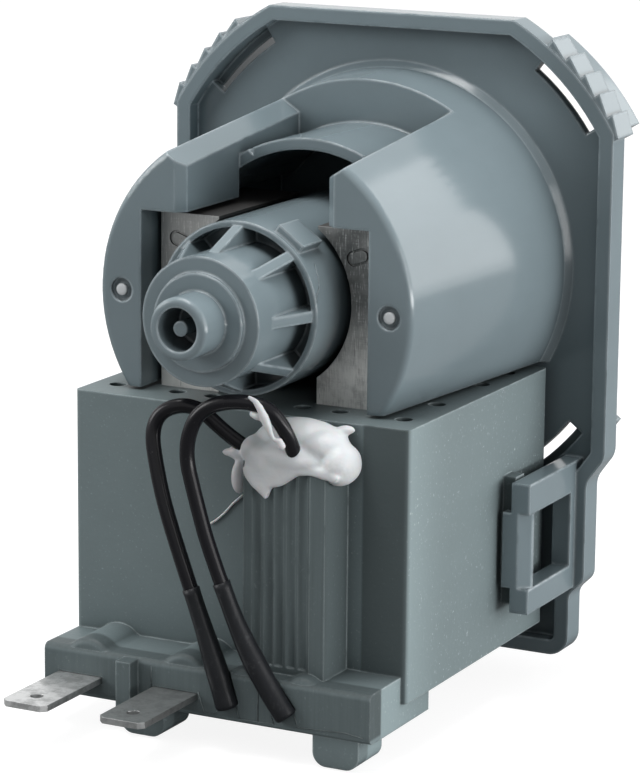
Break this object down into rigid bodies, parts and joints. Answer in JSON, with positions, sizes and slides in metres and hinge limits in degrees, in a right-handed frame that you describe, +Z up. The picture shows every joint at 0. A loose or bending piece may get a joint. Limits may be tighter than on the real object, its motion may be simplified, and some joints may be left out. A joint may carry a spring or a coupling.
{
  "type": "dishwasher drain pump",
  "caption": "Synchronous drain pump: quarter-turn cover with spigot, cone and snap loops, U-core stator in a moulded coil block, wet rotor with lost-motion impeller, spade tabs.",
  "frame": {"origin": "where the rotor axis meets the cover's mounting face, which lies against the sump", "axes": "+Y along the rotor axis into the sump, towards the impeller; +Z up; the motor and the spade tabs are on the -Y side"},
  "size_m": [0.0658, 0.0804, 0.0872],
  "materials": {
    "cover_plastic": "satin blue-grey moulding",
    "cap_plastic": "satin moulding",
    "seal_rubber": "matte",
    "carbon": "ground carbon",
    "washer_plastic": "matte",
    "lamination_steel": "punched electrical sheet",
    "bobbin_plastic": "matte",
    "winding_copper": "enamelled wire",
    "block_plastic": "dark grey-green moulding",
    "tinned_brass": "tinned",
    "cutout_body": "matte",
    "silicone": "cured white silicone",
    "lead_insulation": "soft gloss",
    "shrink_tube": "satin",
    "shaft_steel": "ground",
    "ferrite": "sintered",
    "hub_plastic": "matte",
    "impeller_plastic": "satin"
  },
  "bodies": {
    "motor": {"pump_cover": "cover_plastic", "rotor_can": "cover_plastic", "bearing_cap": "cap_plastic", "can_seal_ring": "seal_rubber", "front_bearing": "carbon", "front_grommet": "seal_rubber", "front_thrust_washer": "washer_plastic", "tail_bearing": "carbon", "tail_grommet": "seal_rubber", "tail_thrust_washer": "washer_plastic", "shaft_lip_seal": "seal_rubber", "sump_seal_ring": "seal_rubber", "stator_stack": "lamination_steel", "coil_bobbin_left": "bobbin_plastic", "coil_bobbin_right": "bobbin_plastic", "coil_winding_left": "winding_copper", "coil_winding_right": "winding_copper", "coil_block": "block_plastic", "spade_tab_left": "tinned_brass", "spade_tab_right": "tinned_brass", "thermal_cutout": "cutout_body", "silicone_seal": "silicone", "lead_left": "lead_insulation", "lead_right": "lead_insulation", "shrink_sleeve_left": "shrink_tube", "shrink_sleeve_right": "shrink_tube"},
    "rotor": {"rotor_shaft": "shaft_steel", "rotor_magnet": "ferrite", "magnet_hub": "hub_plastic", "drive_dog": "hub_plastic"},
    "impeller": {"impeller": "impeller_plastic", "impeller_hub_cap": "impeller_plastic"}
  },
  "joints": [
    {"name": "rotor_spin", "type": "hinge", "parent": "motor", "child": "rotor", "pos_m": [0, 0, 0], "axis": [0, 1, 0], "continuous": true},
    {"name": "impeller_lost_motion", "type": "hinge", "parent": "rotor", "child": "impeller", "pos_m": [0, 0, 0], "axis": [0, 1, 0], "range_deg": [-88, 88]}
  ]
}
